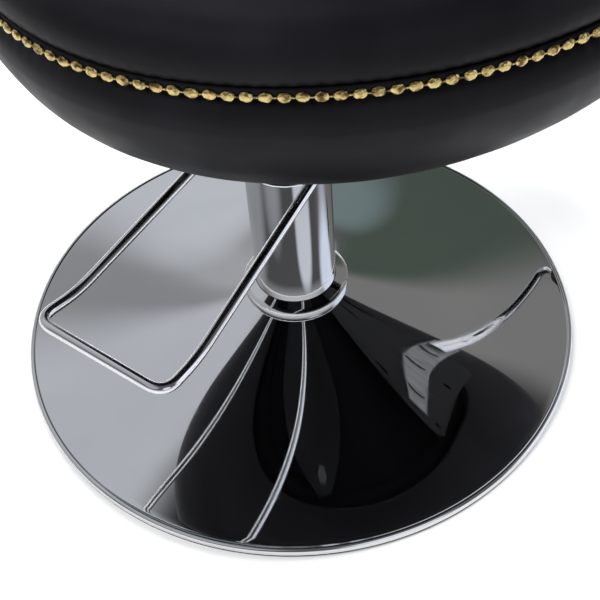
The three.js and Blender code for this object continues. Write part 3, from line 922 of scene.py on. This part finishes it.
def cushion_block(base):
    """The cushion before it is blown up, with its widest part at the seam."""
    # each ring: inset from the seat's outline and height above the base, in millimetres
    levels = [(96, 0), (84, 3), (80, 14), (80, 30), (86, 40), (104, 47), (150, 53), (210, 56)]
    angles = spaced_angles(161)[:-1]
    points = []
    faces = []
    for inset, rise in levels:
        points += [(*outline(t, inset * MM), base + rise * MM) for t in angles]
    join_rings(faces, 0, len(levels), len(angles))
    return make_mesh("cushion_leather", points, faces)


def shape_cushion(cushion, base, seam):
    """The sewn edge pulls the cover in, and the top keeps a soft crown with small sitting creases."""
    moved = coordinates(cushion.data)
    middle = np.array([0.0, MIDDLE_Y - 20 * MM, 0.0])
    for p in moved:
        away = p - middle
        away[2] = 0
        reach = np.linalg.norm(away)
        if reach > 1e-6 and p[2] > base + 6 * MM:
            near = math.exp(-((p[2] - seam) / (4.5 * MM)) ** 2) * smooth_step(reach, 0.12, 0.2)
            p[:2] -= away[:2] / reach * 2.2 * MM * near
        if p[2] > base + 30 * MM:
            p[2] += 1.1 * MM * ripple(p, 80 * MM, 2.0) + 0.4 * MM * ripple(p, 25 * MM, 6.0)
        p[2] = min(p[2], CUSHION_HIGH.z + 6 * MM)
        p[2] = max(p[2], base)
    inside_outline(moved, 74 * MM)
    cushion.data.vertices.foreach_set("co", moved.ravel())
    cushion.data.update()


def make_cushion_welt(cushion, seam):
    """The piping along the seam, laid on the finished cushion by looking in from all round it."""
    tree = BVHTree.FromPolygons([v.co for v in cushion.data.vertices],
                                [tuple(f.vertices) for f in cushion.data.polygons])
    line = []
    for t in spaced_angles(241)[:-1]:
        far = Vector((*outline(t, 40 * MM), seam))
        towards = (Vector((0, MIDDLE_Y, seam)) - far).normalized()
        hit = tree.ray_cast(far, towards)[0]
        if hit:
            line.append(hit + towards * 0.6 * MM)
    welt = sweep("cushion_piping", line, WELT_RADIUS, 10, closed=True)
    finish_piece(welt, "leather", "seat")


def make_cushion():
    """The boxed seat cushion: a flat underside, a piped seam round the top and a crown."""
    base = CUSHION_LOW.z + 0.5 * MM
    seam = base + 36 * MM
    cushion = cushion_block(base)
    remesh(cushion, 6 * MM)
    inflate(cushion, lambda co: co[:, 2] < base + 4 * MM, 22 * MM)
    shape_cushion(cushion, base, seam)
    smooth = cushion.modifiers.new("smooth", "SMOOTH")
    smooth.factor = 0.5
    smooth.iterations = 3
    finer = cushion.modifiers.new("finer", "SUBSURF")
    finer.levels = finer.render_levels = 1
    keep_modifiers(cushion)
    finish_piece(cushion, "padded_leather", "seat", "seat_cushion")
    make_cushion_welt(cushion, seam)


# ---------------------------------------------------------------- wrap-round back and arms
def top_at(t):
    y = outline(t, 40 * MM)[1]
    return ARM_TOP + BACK_RISE * smooth_step(y, 40 * MM, 330 * MM)


BACK_ANGLES = spaced_angles(241, ARM_START, ARM_END)
WALL_LOW = WALL_BOTTOM + 0.3 * MM
WALL_MIDDLE = 46 * MM


def fullness(s, power):
    """0 at both ends of a span and 1 over most of it; a higher power makes the ends rounder."""
    return (1 - abs(2 * s - 1) ** power) ** 0.5


def make_back_padding():
    """The padding inside the back and arms."""
    steps = 24

    def section(i, t):
        high = top_at(t) - 18 * MM
        tall = high - WALL_LOW
        loop = []
        for step in range(steps + 1):
            s = step / steps
            swell = fullness(s, 5)
            z = WALL_LOW + tall * s
            x, y = outline(t, 66 * MM)
            soft = 1.2 * MM * ripple((x, y, z), 110 * MM, 3.0) + 0.5 * MM * ripple((x, y, z), 35 * MM, 8.0)
            loop.append(((54 + 19 * swell) * MM + soft * swell, z))
        return loop + [(42.6 * MM, high), (42.6 * MM, WALL_LOW)]

    pad = wall("back_padding", BACK_ANGLES, section)
    finish_piece(pad, "padded_leather", "seat", "inner_pad")


def make_back_outside():
    """The thinly padded cover on the outside of the back and arms."""
    steps = 20

    def section(i, t):
        high = top_at(t) - 18.5 * MM
        loop = []
        for step in range(steps + 1):
            s = step / steps
            swell = fullness(s, 6)
            z = WALL_LOW + (high - WALL_LOW) * s
            x, y = outline(t, 20 * MM)
            soft = 0.7 * MM * ripple((x, y, z), 120 * MM, 5.0)
            loop.append(((23.5 - 5.5 * swell) * MM + soft * swell, z))
        return loop + [(29.4 * MM, high), (29.4 * MM, WALL_LOW)]

    finish_piece(wall("back_outside", BACK_ANGLES, section), "leather", "seat", "outer_cover")


def make_top_roll():
    """The fat roll along the top edge, a flattened oval in section."""
    steps = 28

    def section(i, t):
        loop = []
        for step in range(steps):
            angle = 2 * math.pi * step / steps
            c, s = math.cos(angle), math.sin(angle)
            reach = 31 * MM * math.copysign(abs(c) ** 0.85, c)
            rise = 13.5 * MM * math.copysign(abs(s) ** 0.8, s)
            x, y = outline(t, WALL_MIDDLE)
            soft = 1 + 0.05 * ripple((x, y, step * 0.02), 45 * MM, 1.0)
            loop.append((WALL_MIDDLE - reach * soft, top_at(t) - 1.2 * MM + rise * soft))
        return loop

    roll = wall("top_roll_leather", BACK_ANGLES, section)
    finish_piece(roll, "padded_leather", "seat", "top_roll")


def make_back_piping():
    """Piping under both edges of the top roll, and where the wall meets the band."""
    for name, inset, drop in (("outside_piping", 18.2, 16), ("inside_piping", 73.5, 16.5)):
        piping(name, BACK_ANGLES, lambda t, i=inset, d=drop: (i * MM, top_at(t) - d * MM))
    piping("wall_piping", BACK_ANGLES, lambda t: (17.4 * MM, WALL_BOTTOM + 2.2 * MM))


def make_arm_front(name, node, edge, sign):
    """The domed pad on the front of an arm, with piping round it; sign is the way it faces along t."""
    low, high = WALL_BOTTOM + 0.4 * MM, ARM_TOP + 9 * MM
    half_tall, middle_z = (high - low) / 2, (high + low) / 2
    half_wide = 29 * MM
    shares = [0.0, 0.2, 0.4, 0.58, 0.72, 0.84, 0.92, 0.975, 1.0]
    angles = [edge + sign * (0.003 + 0.085 * s) for s in shares]

    def loop_of(scale):
        loop = []
        for step in range(40):
            angle = 2 * math.pi * step / 40
            c, s = math.cos(angle), math.sin(angle)
            across = half_wide * math.copysign(abs(c) ** 0.42, c)
            rise = half_tall * math.copysign(abs(s) ** (0.42 if s > 0 else 0.2), s)
            loop.append((WALL_MIDDLE + across * scale, middle_z + rise * (0.75 + 0.25 * scale)))
        return loop

    def section(i, t):
        scale = max(0.05, 1 - shares[i] ** 4.5) ** 0.5
        return loop_of(0.93 * scale)

    pad = wall(name, angles, section)
    finish_piece(pad, "padded_leather", "seat", node)

    t = edge + sign * 0.006
    line = [(*outline(t, inset), z) for inset, z in loop_of(0.97)]
    welt = sweep(f"{name}_piping", line, WELT_RADIUS, 10, closed=True)
    finish_piece(welt, "leather", "seat")


# ---------------------------------------------------------------- CAD nodes that stay
def dress_cad_nodes():
    """Gives each CAD node that still shows its material, with round faces shaded smooth."""
    slots = {row["node"]: row["material_slot"] for row in frame["record"]["subparts"]}
    for name, node in frame["nodes"].items():
        node.data.materials.clear()
        node.data.materials.append(MATERIALS[slots[name]])
        node.data.polygons.foreach_set("use_smooth", [True] * len(node.data.polygons))
        node.data.set_sharp_from_angle(angle=math.radians(32))


# ---------------------------------------------------------------- the whole chair
bpy.context.scene.view_settings.view_transform = "Standard"
right_hand, looking = make_camera()
make_world(right_hand, looking)
make_floor()
make_lights(right_hand, looking)
make_dish()
make_edge_seal()
make_collar()
make_column()
make_footrest()
make_lever()
make_pedal()
make_seat_roll()
make_nails()
make_rail()
make_dust_cloth_and_painted_shade()
make_cushion()
make_back_padding()
make_back_outside()
make_top_roll()
make_back_piping()
make_arm_front("left_arm_pad", "left_arm_front", ARM_START, -1)
make_arm_front("right_arm_pad", "right_arm_front", ARM_END, 1)
dress_cad_nodes()
